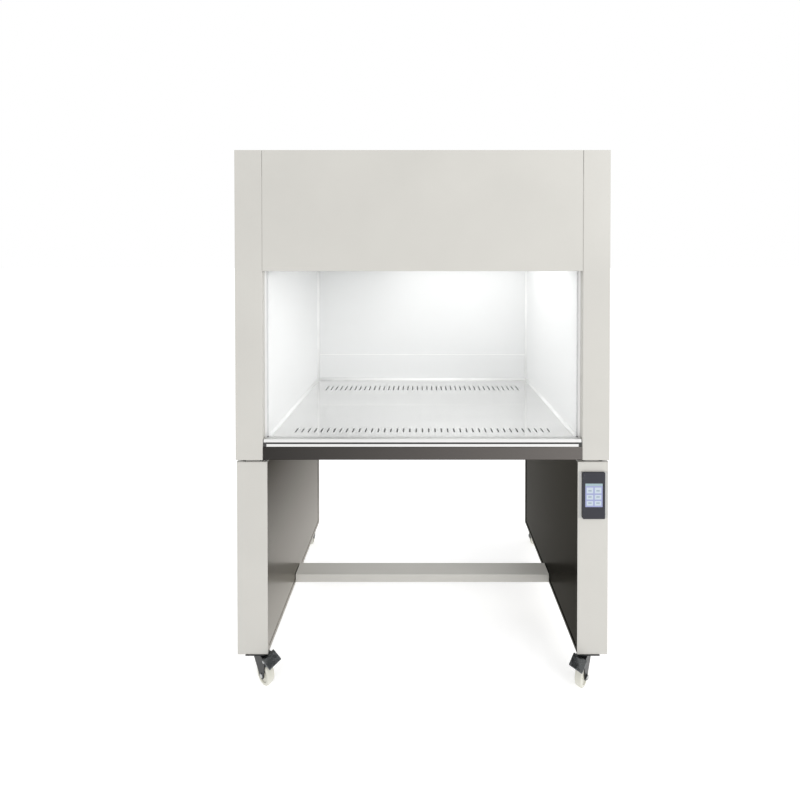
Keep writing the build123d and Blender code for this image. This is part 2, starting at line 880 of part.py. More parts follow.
# Pulleys, their brackets under the top panel, the cables over them and the counterweights
groove_radius = pulley_radius - cable_radius - face_gap
bracket_half = pulley_width / 2 + bracket_gap
with BuildPart() as pulley_brackets:
    for side in (-1, 1):
        for plate in (-1, 1):
            low = glass_plane + plate * bracket_half - (bracket_wall if plate < 0 else 0)
            mirrored(
                side,
                (pulley_x - bracket_depth / 2, low, pulley_z - bracket_depth / 2),
                (pulley_x + bracket_depth / 2, low + bracket_wall, lid_under),
            )
        mirrored(
            side,
            (pulley_x - bracket_depth / 2, glass_plane - bracket_half, lid_under - bracket_wall),
            (pulley_x + bracket_depth / 2, glass_plane + bracket_half, lid_under),
        )
        rod((side * pulley_x, glass_plane, pulley_z), pulley_shaft_radius, 2 * bracket_half, "Y")
save("pulley_brackets", pulley_brackets.part)

for name, side in (("left", -1), ("right", 1)):
    with BuildPart() as pulley:
        with BuildSketch(Plane.YZ.offset(side * pulley_x)):
            with BuildLine():
                Polyline(
                    (glass_plane - pulley_width / 2, pulley_z + pulley_shaft_radius + running_gap),
                    (glass_plane - pulley_width / 2, pulley_z + pulley_rim),
                    (glass_plane - pulley_width / 3, pulley_z + pulley_rim),
                    (glass_plane - cable_radius, pulley_z + groove_radius),
                    (glass_plane + cable_radius, pulley_z + groove_radius),
                    (glass_plane + pulley_width / 3, pulley_z + pulley_rim),
                    (glass_plane + pulley_width / 2, pulley_z + pulley_rim),
                    (glass_plane + pulley_width / 2, pulley_z + pulley_shaft_radius + running_gap),
                    close=True,
                )
            make_face()
        revolve(axis=Axis((side * pulley_x, 0, pulley_z), (0, 1, 0)))
    save(f"{name}_pulley", pulley.part)

    with BuildPart() as weight:
        with Locations((side * weight_x, glass_plane, weight_top - weight_height / 2)):
            Box(weight_width, weight_depth, weight_height)
        chamfer(weight.edges().filter_by(Axis.Z), length=weight_chamfer)
    save(f"{name}_counterweight", weight.part)

with BuildPart() as cables:
    for side in (-1, 1):
        with BuildLine() as route:
            rise = Line((side * cable_x, glass_plane, glide_top), (side * cable_x, glass_plane, pulley_z))
            over = ThreePointArc(
                rise @ 1,
                (side * pulley_x, glass_plane, pulley_z + pulley_radius),
                (side * weight_x, glass_plane, pulley_z),
            )
            Line(over @ 1, (side * weight_x, glass_plane, weight_top))
        with BuildSketch(Plane(origin=rise @ 0, z_dir=(0, 0, 1))):
            Circle(cable_radius)
        sweep(path=route.wires()[0])
save("sash_cables", cables.part)

# Stand legs: painted box shells, closed inside by a pressed stainless panel
floor_top = leg_bottom + leg_floor_wall
panel_back = leg_inner + panel_recess + stainless_wall
for name, side in (("left", -1), ("right", 1)):
    section = [
        (side * leg_inner, leg_front),
        (side * half_width, leg_front),
        (side * half_width, leg_rear),
        (side * leg_inner, leg_rear),
    ]
    inward = Side.LEFT if side > 0 else Side.RIGHT
    with BuildPart() as leg_shell:
        with BuildSketch(Plane.XY.offset(leg_bottom)):
            fold(section, bend_radius, steel_wall, inward)
        extrude(amount=leg_top - leg_bottom)
        for low, high in ((leg_bottom, floor_top), (leg_top - steel_wall, leg_top)):
            mirrored(
                side,
                (leg_inner, leg_front + bend_radius, low),
                (half_width - steel_wall / 2, leg_rear - bend_radius, high),
            )
        for end in (leg_front + castor_end_inset, leg_rear - castor_end_inset):
            with BuildSketch(Plane.XY.offset(leg_bottom)):
                with Locations((side * castor_x, end)):
                    with GridLocations(*castor_bolt_holes):
                        Circle(castor_bolt_radius)
            extrude(amount=leg_floor_wall, mode=Mode.SUBTRACT)
    save(f"{name}_leg_shell", leg_shell.part)

    panel_low = (leg_front + steel_wall, floor_top)
    panel_high = (leg_rear - steel_wall, leg_top - steel_wall)
    with BuildPart() as leg_panel:
        mirrored(
            side,
            (leg_inner, panel_low[0], panel_low[1]),
            (leg_inner + stainless_wall, panel_high[0], panel_high[1]),
        )
        edge = panel_border - stainless_wall
        mirrored(
            side,
            (leg_inner, panel_low[0] + edge, panel_low[1] + edge),
            (panel_back, panel_high[0] - edge, panel_high[1] - edge),
        )
        mirrored(
            side,
            (leg_inner - overcut, panel_low[0] + panel_border, panel_low[1] + panel_border),
            (leg_inner + panel_recess, panel_high[0] - panel_border, panel_high[1] - panel_border),
            Mode.SUBTRACT,
        )
    save(f"{name}_leg_panel", leg_panel.part)

# Crossbar: a box section between the legs, on the panels' lower borders
bar_front = front + crossbar_setback
with BuildPart() as crossbar:
    block(
        (-leg_inner, bar_front, leg_bottom),
        (leg_inner, bar_front + crossbar_depth, leg_bottom + crossbar_height),
    )
    fillet(crossbar.edges().filter_by(Axis.X), radius=bend_radius)
    block(
        (-leg_inner + steel_wall, bar_front + crossbar_wall, leg_bottom + crossbar_wall),
        (
            leg_inner - steel_wall,
            bar_front + crossbar_depth - crossbar_wall,
            leg_bottom + crossbar_height - crossbar_wall,
        ),
        Mode.SUBTRACT,
    )
save("crossbar", crossbar.part)

# Pads: four on each leg, under the cabinet's floor
with BuildPart() as stand_pads:
    for side in (-1, 1):
        for x in (leg_inner + pad_inset, half_width - pad_inset):
            for y in (leg_front + pad_front_inset, leg_rear - pad_rear_inset):
                with Locations((side * x, y, (leg_top + pan_floor) / 2)):
                    Cylinder(pad_radius, pan_floor - leg_top)
save("stand_pads", stand_pads.part)

# Touch panel: a backing plate, a bezel and its glass, on the right leg's front
touch_mid = leg_centre
with BuildPart() as touch_plate:
    block(
        (touch_mid - touch_plate_width / 2, leg_front - touch_plate_wall, touch_bottom),
        (touch_mid + touch_plate_width / 2, leg_front, touch_bottom + touch_height),
    )
save("touch_panel_plate", touch_plate.part)

bezel_front = leg_front - touch_plate_wall - touch_thickness
with BuildPart() as bezel:
    block(
        (touch_mid - touch_width / 2, bezel_front, touch_bottom),
        (touch_mid + touch_width / 2, leg_front - touch_plate_wall, touch_bottom + touch_height),
    )
    outer_rim = bezel.edges().filter_by(Axis.Y)
    fillet(outer_rim, radius=touch_corner)
    front_rim = bezel.faces().sort_by(Axis.Y)[0].edges()
    fillet(front_rim, radius=touch_edge)
    block(
        (touch_mid - display_width / 2, bezel_front - overcut, display_bottom),
        (
            touch_mid + display_width / 2,
            bezel_front + display_recess + display_thickness,
            display_bottom + display_height,
        ),
        Mode.SUBTRACT,
    )
save("touch_panel_bezel", bezel.part)

with BuildPart() as display:
    block(
        (touch_mid - display_width / 2, bezel_front + display_recess, display_bottom),
        (
            touch_mid + display_width / 2,
            bezel_front + display_recess + display_thickness,
            display_bottom + display_height,
        ),
    )
save("touch_panel_display", display.part)

# Castors. Each one's own X runs from its swivel axis towards its wheel.
plate_bottom = leg_bottom - castor_plate_wall
crown_top = plate_bottom - race_height - face_gap
crown_bottom = crown_top - fork_crown
cheek_inner = wheel_width / 2 + fork_gap
cheek_outer = cheek_inner + fork_wall
kingpin_head_top = crown_bottom - face_gap
fork_length = 6 * crown_radius
pedal_pin_z = plate_bottom - pedal_pin_drop
pedal_high = plate_bottom - pedal_drop
pedal_low = pedal_high - pedal_fall

with BuildPart() as castor_plates:
    for x, y in castor_places.values():
        with Locations((x, y, plate_bottom + castor_plate_wall / 2)):
            Box(castor_plate, castor_plate, castor_plate_wall)
        rod((x, y, plate_bottom - race_height / 2), race_radius, race_height)
        rod((x, y, (plate_bottom + kingpin_head_top) / 2), kingpin_radius, plate_bottom - kingpin_head_top)
        rod((x, y, kingpin_head_top - kingpin_head_wall / 2), kingpin_head_radius, kingpin_head_wall)
        with BuildSketch(Plane.XY.offset(plate_bottom)):
            with Locations((x, y)):
                with GridLocations(*castor_bolt_holes):
                    Circle(castor_bolt_radius)
        extrude(amount=castor_plate_wall, mode=Mode.SUBTRACT)
save("castor_plates", castor_plates.part)

with BuildPart() as castor_bolts:
    for x, y in castor_places.values():
        with Locations((x, y)):
            with GridLocations(*castor_bolt_holes):
                shank_top = floor_top + nut_height
                with Locations((0, 0, plate_bottom - bolt_head_height / 2)):
                    Cylinder(bolt_head_radius, bolt_head_height)
                with Locations((0, 0, (plate_bottom + shank_top) / 2)):
                    Cylinder(castor_bolt_radius - bolt_shank_gap, shank_top - plate_bottom)
                with Locations((0, 0, floor_top + nut_height / 2)):
                    Cylinder(bolt_head_radius, nut_height)
save("castor_bolts", castor_bolts.part)


def castor(place, x, y, heading):
    """Makes one castor's fork, wheel and brake pedal about its swivel axis."""
    ground = Plane(origin=(x, y, 0)).rotated((0, 0, heading))
    profile = Plane(origin=ground.origin, x_dir=ground.x_dir, z_dir=-ground.y_dir)

    # Fork: a crown round the kingpin, two cheeks, the wheel's axle and the pedal's pin
    with BuildPart(ground) as fork:
        with Locations((0, 0, (crown_top + crown_bottom) / 2)):
            Cylinder(crown_radius, fork_crown)
            Box(cheek_top_width, 2 * cheek_outer, fork_crown)
        with BuildSketch(profile):
            with Locations((castor_trail, wheel_radius)):
                Circle(cheek_end_radius)
            with Locations((pedal_pin_x, pedal_pin_z)):
                Circle(cheek_ear_radius)
            with Locations((0, crown_top - fork_crown / 2)):
                Rectangle(cheek_top_width, fork_crown)
            make_hull()
        extrude(amount=cheek_outer, both=True)
        with Locations((0, 0, crown_bottom / 2)):
            Box(fork_length, 2 * cheek_inner, crown_bottom, mode=Mode.SUBTRACT)
        with Locations((0, 0, plate_bottom)):
            Box(fork_length, 2 * crown_radius, 2 * (plate_bottom - crown_top), mode=Mode.SUBTRACT)
        with Locations((crown_radius + cheek_top_width / 2 + crown_radius, 0, crown_top)):
            Box(2 * crown_radius, 2 * cheek_inner, 4 * fork_crown, mode=Mode.SUBTRACT)
        with Locations((castor_trail, 0, wheel_radius)):
            Cylinder(axle_radius, 2 * (cheek_outer + axle_overhang), rotation=(90, 0, 0))
        with Locations((pedal_pin_x, 0, pedal_pin_z)):
            Cylinder(pedal_pin_radius, 2 * (cheek_outer + pedal_pin_overhang), rotation=(90, 0, 0))
        with Locations((0, 0, (crown_top + crown_bottom) / 2)):
            Cylinder(kingpin_radius + running_gap, 2 * fork_crown, mode=Mode.SUBTRACT)
    save(f"{place}_castor_fork", fork.part)

    # Wheel: one moulding with rounded edges, dished sides and a bored hub
    with BuildPart(ground) as wheel:
        with Locations((castor_trail, 0, wheel_radius)):
            Cylinder(wheel_radius, wheel_width, rotation=(90, 0, 0))
        fillet(wheel.edges().filter_by(GeomType.CIRCLE), radius=tyre_edge)
        for side in (-1, 1):
            with Locations((castor_trail, side * (wheel_width - wheel_dish) / 2, wheel_radius)):
                Cylinder(wheel_radius - 2 * tyre_edge, wheel_dish, rotation=(90, 0, 0), mode=Mode.SUBTRACT)
        with Locations((castor_trail, 0, wheel_radius)):
            Cylinder(wheel_hub_radius, wheel_width, rotation=(90, 0, 0))
            Cylinder(axle_radius + running_gap, wheel_width, rotation=(90, 0, 0), mode=Mode.SUBTRACT)
    save(f"{place}_castor_wheel", wheel.part)

    # Brake pedal: a barrel on its pin with a nose over the wheel, and a plate to tread on
    with BuildPart(ground) as pedal:
        with BuildSketch(profile):
            with Locations((pedal_pin_x, pedal_pin_z)):
                Circle(pedal_barrel_radius)
                with Locations((pedal_nose_x, pedal_nose_z)):
                    Circle(pedal_nose_radius)
            make_hull()
        extrude(amount=cheek_inner - slide_gap, both=True)
        with BuildSketch(profile):
            with BuildLine():
                Polyline(
                    (pedal_pin_x, pedal_high),
                    (pedal_flare, pedal_high),
                    (pedal_reach, pedal_low + pedal_wall),
                    (pedal_reach, pedal_low),
                    (pedal_flare, pedal_high - pedal_wall),
                    (pedal_pin_x + pedal_barrel_radius, pedal_high - pedal_wall),
                    (pedal_pin_x + pedal_barrel_radius, pedal_pin_z),
                    (pedal_pin_x, pedal_pin_z),
                    close=True,
                )
            make_face()
        extrude(amount=pedal_width / 2, both=True)
        for side in (-1, 1):
            with Locations((pedal_pin_x, side * pedal_width / 2, pedal_pin_z)):
                Box(
                    2 * (pedal_flare - pedal_pin_x),
                    pedal_width - 2 * (cheek_inner - slide_gap),
                    4 * pedal_barrel_radius,
                    mode=Mode.SUBTRACT,
                )
        with Locations((pedal_pin_x, 0, pedal_pin_z)):
            Cylinder(pedal_pin_radius + running_gap, pedal_width, rotation=(90, 0, 0), mode=Mode.SUBTRACT)
    save(f"{place}_castor_pedal", pedal.part)


for place, (x, y) in castor_places.items():
    castor(place, x, y, castor_headings[place])
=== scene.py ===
import json
import math

import bmesh
import bpy
from mathutils import Matrix, Vector


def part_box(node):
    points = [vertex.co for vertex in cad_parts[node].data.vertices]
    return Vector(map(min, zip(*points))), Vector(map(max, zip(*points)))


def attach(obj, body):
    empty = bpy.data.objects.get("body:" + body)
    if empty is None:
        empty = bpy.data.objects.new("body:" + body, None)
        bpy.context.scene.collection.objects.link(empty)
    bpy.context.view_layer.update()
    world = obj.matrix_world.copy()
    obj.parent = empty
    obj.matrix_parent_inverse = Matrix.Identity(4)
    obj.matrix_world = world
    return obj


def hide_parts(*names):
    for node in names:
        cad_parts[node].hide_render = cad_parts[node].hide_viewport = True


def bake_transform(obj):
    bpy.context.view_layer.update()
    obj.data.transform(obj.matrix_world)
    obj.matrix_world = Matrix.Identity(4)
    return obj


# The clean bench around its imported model: finishes, small parts, lamps, floor, lights and camera.
# Metres, in the frame of the model: X is the width, -Y is the front, Z is up from the floor.
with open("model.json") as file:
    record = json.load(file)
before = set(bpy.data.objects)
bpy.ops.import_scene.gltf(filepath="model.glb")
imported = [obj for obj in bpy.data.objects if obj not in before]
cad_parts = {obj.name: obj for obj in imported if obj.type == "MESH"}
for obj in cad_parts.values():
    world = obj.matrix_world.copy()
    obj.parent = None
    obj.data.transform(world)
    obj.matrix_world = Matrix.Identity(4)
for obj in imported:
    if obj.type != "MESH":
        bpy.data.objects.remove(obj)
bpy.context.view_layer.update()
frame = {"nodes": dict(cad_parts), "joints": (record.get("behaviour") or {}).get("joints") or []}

MM = 0.001
ROOT = "cabinet"


# ---------------------------------------------------------------- places read from the frame

def low(node):
    """A node's lowest corner."""
    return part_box(node)[0]


def high(node):
    """A node's highest corner."""
    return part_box(node)[1]


def middle(node):
    """The centre of a node's box."""
    return (low(node) + high(node)) / 2


def joint(name):
    """A joint's entry in the frame."""
    return next(j for j in frame["joints"] if j["name"] == name)


def local_place(node, place):
    """A place in the node's own coordinates, which its material sees."""
    return frame["nodes"][node].matrix_world.inverted() @ place


front = low("front_panel").y
work_top = high("work_surface").z
chamber_half = -low("rear_liner").x
chamber_back = low("rear_liner").y
chamber_top = low("ceiling_grille").z


# ---------------------------------------------------------------- node helpers

def new_material(name):
    """An empty node material with its shader."""
    made = bpy.data.materials.new(name)
    made.use_nodes = True
    return made, made.node_tree, made.node_tree.nodes["Principled BSDF"]


def put(tree, kind, **values):
    """Adds a node and sets its properties or its input values by name."""
    node = tree.nodes.new(kind)
    for key, value in values.items():
        if hasattr(node, key):
            setattr(node, key, value)
        else:
            node.inputs[key.replace("_", " ")].default_value = value
    return node


def place_coordinates(tree, scale=(1, 1, 1)):
    """Object coordinates in metres, stretched by a scale."""
    where = put(tree, "ShaderNodeTexCoord")
    mapping = put(tree, "ShaderNodeMapping", Scale=scale)
    tree.links.new(where.outputs["Object"], mapping.inputs["Vector"])
    return mapping.outputs["Vector"]


def axis_coordinates(tree):
    """Object coordinates in metres as separate outputs for X, Y and Z."""
    parts = put(tree, "ShaderNodeSeparateXYZ")
    tree.links.new(place_coordinates(tree), parts.inputs["Vector"])
    return parts.outputs


def compare(tree, value, operation, limit):
    """1 where a value is over or under a limit, and 0 elsewhere."""
    test = put(tree, "ShaderNodeMath", operation=operation)
    test.inputs[1].default_value = limit
    tree.links.new(value, test.inputs[0])
    return test.outputs["Value"]


def product(tree, first, second):
    """Two values multiplied."""
    both = put(tree, "ShaderNodeMath", operation="MULTIPLY")
    tree.links.new(first, both.inputs[0])
    tree.links.new(second, both.inputs[1])
    return both.outputs["Value"]


def noise(tree, vector, scale, detail=3.0, roughness=0.55):
    """A noise value over a vector."""
    made = put(tree, "ShaderNodeTexNoise", Scale=scale, Detail=detail, Roughness=roughness)
    tree.links.new(vector, made.inputs["Vector"])
    return made.outputs["Fac"]


def ramp(tree, value, low_stop, high_stop, low_colour, high_colour):
    """Colours between two stops of a value."""
    made = put(tree, "ShaderNodeValToRGB")
    made.color_ramp.elements[0].position = low_stop
    made.color_ramp.elements[1].position = high_stop
    made.color_ramp.elements[0].color = (*low_colour, 1)
    made.color_ramp.elements[1].color = (*high_colour, 1)
    tree.links.new(value, made.inputs["Fac"])
    return made.outputs["Color"]


def spread(tree, value, to_low, to_high, from_low=0.0, from_high=1.0):
    """A value carried from one range to another."""
    made = put(tree, "ShaderNodeMapRange")
    made.inputs["From Min"].default_value = from_low
    made.inputs["From Max"].default_value = from_high
    made.inputs["To Min"].default_value = to_low
    made.inputs["To Max"].default_value = to_high
    tree.links.new(value, made.inputs["Value"])
    return made.outputs["Result"]


def vary_roughness(tree, shader, value, lowest, highest):
    """Roughness that follows a value from 0 to 1."""
    tree.links.new(spread(tree, value, lowest, highest), shader.inputs["Roughness"])


def relief(tree, shader, height, distance, strength, edge=0.0):
    """Bump from a height, over edges that the Bevel node rounds."""
    bump = put(tree, "ShaderNodeBump", Distance=distance, Strength=strength)
    tree.links.new(height, bump.inputs["Height"])
    if edge:
        rounded = put(tree, "ShaderNodeBevel", samples=4, Radius=edge)
        tree.links.new(rounded.outputs["Normal"], bump.inputs["Normal"])
    tree.links.new(bump.outputs["Normal"], shader.inputs["Normal"])


def shade(colour, share):
    """A colour made darker or lighter by a share."""
    return tuple(min(1.0, c * share) for c in colour)


def cloudy(tree, shader, value, colour, variation, stops=(0.3, 0.7)):
    """A base colour that varies a little either way with a value."""
    tone = ramp(tree, value, *stops, shade(colour, 1 - variation), shade(colour, 1 + variation))
    tree.links.new(tone, shader.inputs["Base Color"])


def scratch(tree, shader, along, roughness, depth, edge):
    """Fine scratches along one axis, in the roughness and in the relief."""
    scale = tuple(SCRATCH_ALONG if a else SCRATCH_ACROSS for a in along)
    lines = noise(tree, place_coordinates(tree, scale), 1.0, 4.0, 0.65)
    vary_roughness(tree, shader, lines, *roughness)
    relief(tree, shader, lines, depth, SCRATCH_STRENGTH, edge)


def either_side(roughness):
    """The range of a scratched surface's roughness."""
    return roughness * 0.7, roughness * 1.35


# ---------------------------------------------------------------- materials
# Noise scales along and across the brushing, and depths of relief in metres
SCRATCH_ALONG = 6.0
SCRATCH_ACROSS = 700.0
SCRATCH_STRENGTH = 0.35
BAND_ALONG = 0.8
BAND_ACROSS = 9.0
FINE_DEPTH = 0.00002
GRAIN_DEPTH = 0.00003
ALONG_X = (1, 0, 0)
ALONG_Z = (0, 0, 1)


def powder_coat(
    name, colour, roughness=0.42, grain=1400.0, depth=0.00004, variation=0.03, specular=0.5
):
    """Powder-coated steel: an even colour with a fine orange-peel surface."""
    made, tree, shader = new_material(name)
    vector = place_coordinates(tree)
    cloudy(tree, shader, noise(tree, vector, 3.0), colour, variation)
    peel = noise(tree, vector, grain, 2.0)
    vary_roughness(tree, shader, peel, roughness - 0.06, roughness + 0.06)
    shader.inputs["Specular IOR Level"].default_value = specular
    relief(tree, shader, peel, depth, 0.5, edge=0.0012)
    return made


def brushed(
    name,
    colour,
    roughness,
    along=ALONG_X,
    streak=0.08,
    depth=FINE_DEPTH,
    metallic=1.0,
    edge=0.0008,
):
    """Brushed metal: fine scratches along one axis, over broad streaks."""
    made, tree, shader = new_material(name)
    broad = tuple(BAND_ALONG if a else BAND_ACROSS for a in along)
    bands = noise(tree, place_coordinates(tree, broad), 1.0, 2.0)
    cloudy(tree, shader, bands, colour, streak)
    shader.inputs["Metallic"].default_value = metallic
    scratch(tree, shader, along, either_side(roughness), depth, edge)
    return made


def painted_reflection_steel(name, node, along, low_colour, high_colour, roughness, edge_tint):
    """Steel brushed along a node, with a painted reflection in its base colour: a tone that runs from
    one given colour at one end to another at the other.
    """
    made, tree, shader = new_material(name)
    axis = along.index(1)
    ends = sorted(local_place(node, corner)[axis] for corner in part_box(node))
    share = spread(tree, axis_coordinates(tree)[axis], 0.0, 1.0, *ends)
    tone = ramp(tree, share, 0.0, 1.0, low_colour, high_colour)
    tree.links.new(tone, shader.inputs["Base Color"])
    shader.inputs["Metallic"].default_value = 1.0
    shader.inputs["Specular Tint"].default_value = (*edge_tint, 1)
    scratch(tree, shader, along, either_side(roughness), FINE_DEPTH, 0.0008)
    return made


def fine_grain(tree, shader, roughness, grain=900.0, depth=GRAIN_DEPTH):
    """The grain of moulded plastic, in the roughness and in the relief."""
    fine = noise(tree, place_coordinates(tree), grain)
    vary_roughness(tree, shader, fine, roughness - 0.08, roughness + 0.08)
    relief(tree, shader, fine, depth, 0.6, edge=0.0005)


def moulded(name, colour, roughness=0.5, grain=900.0, depth=GRAIN_DEPTH, variation=0.05):
    """Moulded plastic or rubber with a fine grain."""
    made, tree, shader = new_material(name)
    cloudy(tree, shader, noise(tree, place_coordinates(tree), 14.0), colour, variation)
    fine_grain(tree, shader, roughness, grain, depth)
    return made


def zinc_plate(name, colour, roughness=0.3):
    """Zinc-plated steel: cloudy bright metal."""
    made, tree, shader = new_material(name)
    vector = place_coordinates(tree)
    cloud = noise(tree, vector, 55.0, 4.0)
    tone = ramp(tree, cloud, 0.3, 0.75, shade(colour, 0.72), shade(colour, 1.15))
    tree.links.new(tone, shader.inputs["Base Color"])
    vary_roughness(tree, shader, cloud, roughness - 0.1, roughness + 0.12)
    shader.inputs["Metallic"].default_value = 1.0
    relief(tree, shader, noise(tree, vector, 700.0), FINE_DEPTH, 0.5, edge=0.0006)
    return made


def spangled(name, colour):
    """Galvanised sheet with its crystal pattern."""
    made, tree, shader = new_material(name)
    vector = place_coordinates(tree)
    cells = put(tree, "ShaderNodeTexVoronoi", Scale=70.0)
    tree.links.new(vector, cells.inputs["Vector"])
    tone = ramp(tree, cells.outputs["Distance"], 0.0, 1.0, shade(colour, 0.8), shade(colour, 1.1))
    tree.links.new(tone, shader.inputs["Base Color"])
    shader.inputs["Metallic"].default_value = 0.9
    vary_roughness(tree, shader, noise(tree, vector, 40.0), 0.35, 0.5)
    return made


def clear_glass(name):
    """Clear float glass with a faint smear of dust."""
    made, tree, shader = new_material(name)
    dust = noise(tree, place_coordinates(tree), 9.0, 5.0)
    vary_roughness(tree, shader, dust, 0.02, 0.07)
    shader.inputs["Base Color"].default_value = (0.93, 0.97, 0.96, 1)
    shader.inputs["Alpha"].default_value = 0.07
    shader.inputs["IOR"].default_value = 1.45
    return made


def glowing(name, colour, strength):
    """A lit lamp tube of faintly cloudy frosted glass."""
    made, tree, shader = new_material(name)
    cloud = noise(tree, place_coordinates(tree), 20.0)
    tone = ramp(tree, cloud, 0.2, 0.8, shade(colour, 0.97), colour)
    tree.links.new(tone, shader.inputs["Base Color"])
    tree.links.new(tone, shader.inputs["Emission Color"])
    shader.inputs["Emission Strength"].default_value = strength
    shader.inputs["Roughness"].default_value = 0.4
    return made


def pleated_paper(name, colour):
    """Filter paper: soft white fibre."""
    made, tree, shader = new_material(name)
    fibre = noise(tree, place_coordinates(tree), 500.0, 5.0)
    tone = ramp(tree, fibre, 0.3, 0.7, shade(colour, 0.93), colour)
    tree.links.new(tone, shader.inputs["Base Color"])
    shader.inputs["Roughness"].default_value = 0.95
    relief(tree, shader, fibre, 0.0002, 0.6)
    return made


def two_tone(name, node, line_z, below, above, roughness=0.45):
    """Moulded plastic below a height on a node, and a lighter strip above it."""
    made, tree, shader = new_material(name)
    line = local_place(node, Vector((0, 0, line_z))).z
    over = compare(tree, axis_coordinates(tree)["Z"], "GREATER_THAN", line)
    tone = ramp(tree, over, 0.4, 0.6, below, above)
    tree.links.new(tone, shader.inputs["Base Color"])
    fine_grain(tree, shader, roughness)
    return made


# The groove in the sash rail's face, where the painted shade lies, from the rail's lowest front corner
GROOVE_RISE = 9.0 * MM
GROOVE_HEIGHT = 5.0 * MM
GROOVE_DEPTH = 7.0 * MM
GROOVE_MARGIN = 0.05 * MM


def rail_with_painted_groove_shade(name, colour, groove_shade_colour):
    """Anodised extrusion with painted shade: a dark colour set by place on the groove's three faces."""
    made, tree, shader = new_material(name)
    corner = low("sash_rail")
    foot = local_place("sash_rail", corner + Vector((0, 0, GROOVE_RISE - GROOVE_MARGIN)))
    head = local_place(
        "sash_rail",
        corner + Vector((0, GROOVE_DEPTH + GROOVE_MARGIN, GROOVE_RISE + GROOVE_HEIGHT + GROOVE_MARGIN)),
    )
    parts = axis_coordinates(tree)
    over = compare(tree, parts["Z"], "GREATER_THAN", foot.z)
    under = compare(tree, parts["Z"], "LESS_THAN", head.z)
    ahead = compare(tree, parts["Y"], "LESS_THAN", head.y)
    # Painted shade: 1 on the groove's faces, which are coloured dark
    inside = product(tree, product(tree, over, under), ahead)
    tone = ramp(tree, inside, 0.4, 0.6, colour, groove_shade_colour)
    tree.links.new(tone, shader.inputs["Base Color"])
    shader.inputs["Metallic"].default_value = 1.0
    scratch(tree, shader, ALONG_X, (0.24, 0.42), FINE_DEPTH, 0.0006)
    return made


CHAMBER_COAT = {"roughness": 0.3, "grain": 1100.0, "depth": GRAIN_DEPTH, "variation": 0.015}
paint = powder_coat("paint_warm_grey", (0.516, 0.505, 0.472))
liner_paint = powder_coat("paint_chamber_white", (0.86, 0.863, 0.862), **CHAMBER_COAT)
side_paint = powder_coat("paint_chamber_sides", (0.94, 0.942, 0.941), **CHAMBER_COAT)
# Painted reflections: the left leg panel runs from light at its foot to dark at its top, the right leg
# panel is evenly dark, and the apron runs from dark at its left to lighter at its right
left_leg_steel = painted_reflection_steel(
    "stainless_left_painted_reflection",
    "left_leg_panel",
    ALONG_Z,
    low_colour=(0.64, 0.62, 0.585),
    high_colour=(0.07, 0.067, 0.063),
    roughness=0.2,
    edge_tint=(0.42, 0.412, 0.4),
)
right_leg_steel = painted_reflection_steel(
    "stainless_right_painted_reflection",
    "right_leg_panel",
    ALONG_Z,
    low_colour=(0.058, 0.056, 0.05),
    high_colour=(0.052, 0.05, 0.046),
    roughness=0.24,
    edge_tint=(0.42, 0.417, 0.41),
)
apron_steel = painted_reflection_steel(
    "stainless_apron_painted_reflection",
    "front_apron",
    ALONG_X,
    low_colour=(0.034, 0.032, 0.03),
    high_colour=(0.13, 0.12, 0.113),
    roughness=0.2,
    edge_tint=(0.2, 0.2, 0.2),
)
# Shallow and without rounded edges, which showed as ripples on this wide flat sheet
work_steel = brushed(
    "stainless_work",
    (0.83, 0.828, 0.822),
    0.08,
    streak=0.04,
    depth=0.000002,
    metallic=0.85,
    edge=0,
)
cable_steel = brushed("stainless_cable", (0.5, 0.5, 0.5), 0.3, ALONG_Z, streak=0.1)
rail_metal = rail_with_painted_groove_shade("aluminium_rail_painted_groove_shade", (0.68, 0.68, 0.67), (0.06, 0.06, 0.062))
channel_metal = brushed(
    "aluminium_channel", (0.9, 0.9, 0.9), 0.4, ALONG_Z, streak=0.04, metallic=0.3
)
plate_metal = brushed("aluminium_plate", (0.42, 0.42, 0.41), 0.36, ALONG_Z, streak=0.04)
zinc = zinc_plate("zinc_plated", (0.52, 0.53, 0.53))
pedal_zinc = zinc_plate("zinc_pedal", (0.17, 0.18, 0.19), 0.26)
fork_black = powder_coat(
    "black_steel",
    (0.011, 0.011, 0.012),
    roughness=0.3,
    grain=700.0,
    depth=0.00006,
    variation=0.15,
    specular=0.22,
)
galvanised = spangled("galvanised", (0.55, 0.57, 0.58))
black_plastic = moulded("black_plastic", (0.016, 0.017, 0.018), 0.34)
bezel_plastic = moulded("bezel_plastic", (0.012, 0.013, 0.022), 0.55)
glide_plastic = two_tone(
    "glide_plastic", "sash_glides", high("sash_rail").z, (0.03, 0.029, 0.028), (0.66, 0.66, 0.66)
)
wheel_nylon = moulded(
    "nylon_wheel", (0.66, 0.65, 0.58), 0.42, grain=500.0, depth=0.00005, variation=0.08
)
white_plastic = moulded("white_plastic", (0.75, 0.75, 0.72), 0.4)
rubber = moulded("black_rubber", (0.018, 0.018, 0.018), 0.75)
weight_steel = powder_coat(
    "weight_steel", (0.08, 0.08, 0.085), roughness=0.5, grain=200.0, depth=0.0001, variation=0.25
)
sealant = moulded("white_sealant_painted_glow", (0.95, 0.95, 0.94), 0.35, grain=300.0)
# A faint painted glow on the sealant stands in for the highlights along the bead
sealant_glow_shader = sealant.node_tree.nodes["Principled BSDF"]
sealant_glow_shader.inputs["Emission Color"].default_value = (1, 1, 1, 1)
sealant_glow_shader.inputs["Emission Strength"].default_value = 0.08
sash_clear = clear_glass("sash_clear")
lamp_white = glowing("lamp_white", (1.0, 0.99, 0.97), 2.0)
lamp_clear = glowing("lamp_clear", (0.9, 0.93, 1.0), 0.3)
paper = pleated_paper("filter_paper", (0.85, 0.85, 0.82))

